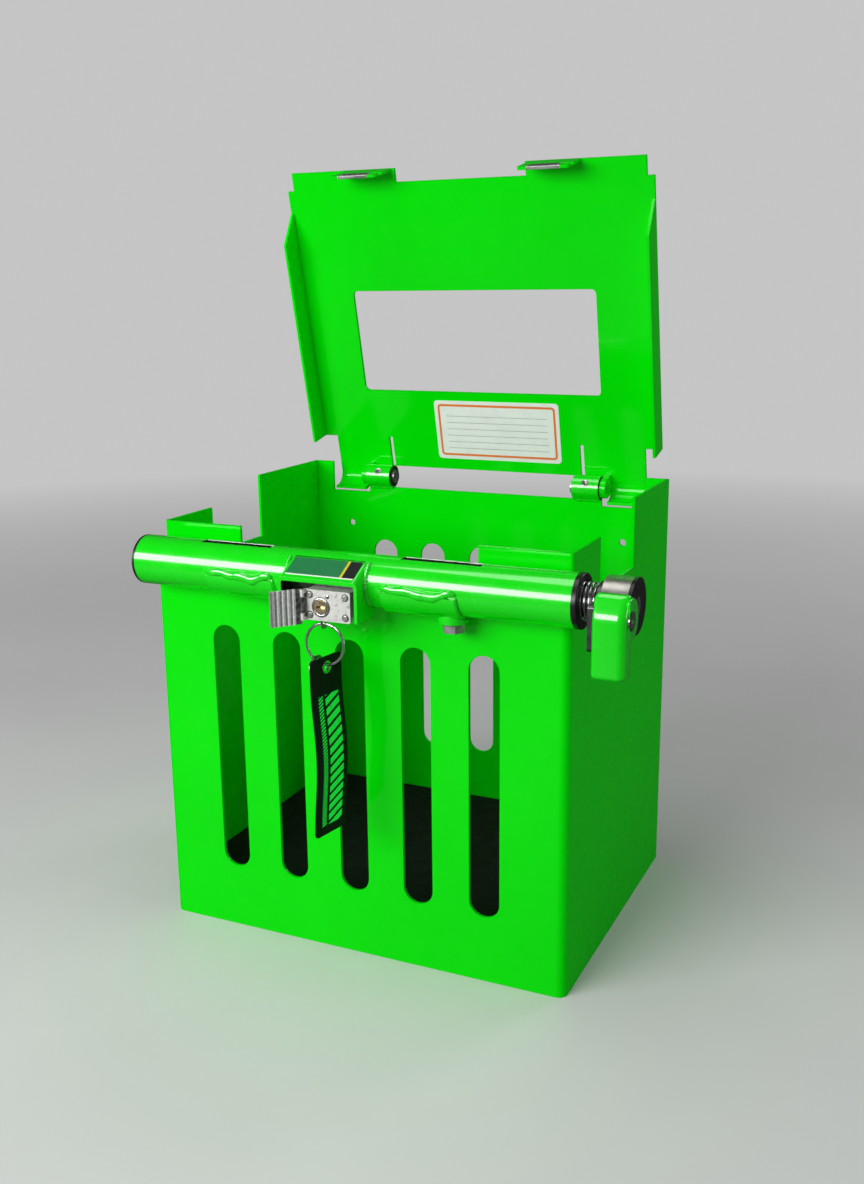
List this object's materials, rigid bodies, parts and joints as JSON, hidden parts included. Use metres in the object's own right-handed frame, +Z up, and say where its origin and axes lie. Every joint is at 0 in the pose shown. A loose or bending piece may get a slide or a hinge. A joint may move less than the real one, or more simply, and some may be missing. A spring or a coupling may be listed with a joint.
{
  "type": "lockable storage cage",
  "caption": "Vented sheet-steel cage with a hinged hooked lid, a sliding locking bar in a tube across the front, a key lock with dust cover and a ring with key and fob.",
  "frame": {"origin": "on the ground under the middle of the cage body", "axes": "+X to the right towards the pull handle, +Y from the front to the hinged back, +Z up"},
  "size_m": [0.4618, 0.3884, 0.7051],
  "materials": {
    "green_coat": "gloss powder coat",
    "black_mat": "matte",
    "black_plastic": "satin",
    "spring_steel": "drawn wire",
    "bare_steel": "machined",
    "dark_steel": "blackened",
    "chrome_plate": "polished",
    "zinc_steel": "zinc plated",
    "zinc_casting": "satin die casting",
    "brass_plug": "machined",
    "white_film": "satin",
    "black_strap": "matte"
  },
  "bodies": {
    "cage": {"front_shell": "green_coat", "back_panel": "green_coat", "floor_panel": "green_coat", "floor_mat": "black_mat", "corner_bracket_left": "green_coat", "corner_bracket_right": "green_coat", "lock_tube": "green_coat", "tube_saddle_left": "green_coat", "tube_saddle_right": "green_coat", "tube_end_cap": "black_plastic", "tube_end_bush": "black_plastic", "return_spring": "spring_steel", "stop_boss": "green_coat", "stop_washer": "zinc_steel", "stop_bolt": "zinc_steel", "hinge_barrel_left": "green_coat", "hinge_barrel_right": "green_coat", "hinge_pins": "zinc_steel", "hinge_set_screws": "zinc_steel", "lock_shroud": "green_coat", "lock_body": "zinc_casting", "lock_rivets": "zinc_casting", "cover_hinge_pin": "bare_steel", "ring_staple": "bare_steel"},
    "lid": {"lid_pan": "green_coat", "lid_hook_left": "green_coat", "lid_hook_right": "green_coat", "lid_label": "white_film"},
    "bar": {"locking_bar": "bare_steel", "cross_pins": "bare_steel", "handle_plate": "dark_steel", "bar_head": "chrome_plate", "head_end_disc": "black_plastic", "pull_handle": "green_coat", "handle_screw": "zinc_steel"},
    "core": {"end_core": "chrome_plate"},
    "plug": {"key_plug": "brass_plug"},
    "bolt": {"lock_bolt": "bare_steel"},
    "cover": {"dust_cover": "chrome_plate"},
    "ring": {"key_ring": "chrome_plate", "ring_key": "zinc_steel"},
    "fob": {"key_fob": "black_strap", "fob_eyelet": "chrome_plate"}
  },
  "joints": [
    {"name": "lid_hinge", "type": "hinge", "parent": "cage", "child": "lid", "pos_m": [0, 0.1485, 0.392], "axis": [1, 0, 0], "range_deg": [-20, 80.8]},
    {"name": "bar_slide", "type": "slide", "parent": "cage", "child": "bar", "axis": [1, 0, 0], "range_m": [-0.012, 0], "stiffness_N_per_m": 800, "springref_m": 0.01, "deforming": ["return_spring"]},
    {"name": "core_turn", "type": "hinge", "parent": "bar", "child": "core", "pos_m": [0.25, -0.166, 0.356], "axis": [1, 0, 0], "range_deg": [0, 90]},
    {"name": "key_turn", "type": "hinge", "parent": "cage", "child": "plug", "pos_m": [0.0023, -0.198, 0.338], "axis": [0, 1, 0], "range_deg": [0, 90]},
    {"name": "bolt_slide", "type": "slide", "parent": "cage", "child": "bolt", "axis": [0, 1, 0], "range_m": [0, 0.008]},
    {"name": "cover_hinge", "type": "hinge", "parent": "cage", "child": "cover", "pos_m": [-0.013, -0.203, 0.3395], "axis": [0, 0, 1], "range_deg": [-20, 128]},
    {"name": "ring_swing", "type": "hinge", "parent": "cage", "child": "ring", "pos_m": [0.001, -0.193, 0.3195], "axis": [0, 1, 0], "range_deg": [-25, 25]},
    {"name": "fob_swing", "type": "hinge", "parent": "ring", "child": "fob", "pos_m": [0.001, -0.193, 0.2871], "axis": [1, 0, 0], "range_deg": [-15, 5]}
  ],
  "couplings": [
    {"joint": "bolt_slide", "follows": "key_turn", "m_per_rad": 0.005093}
  ]
}
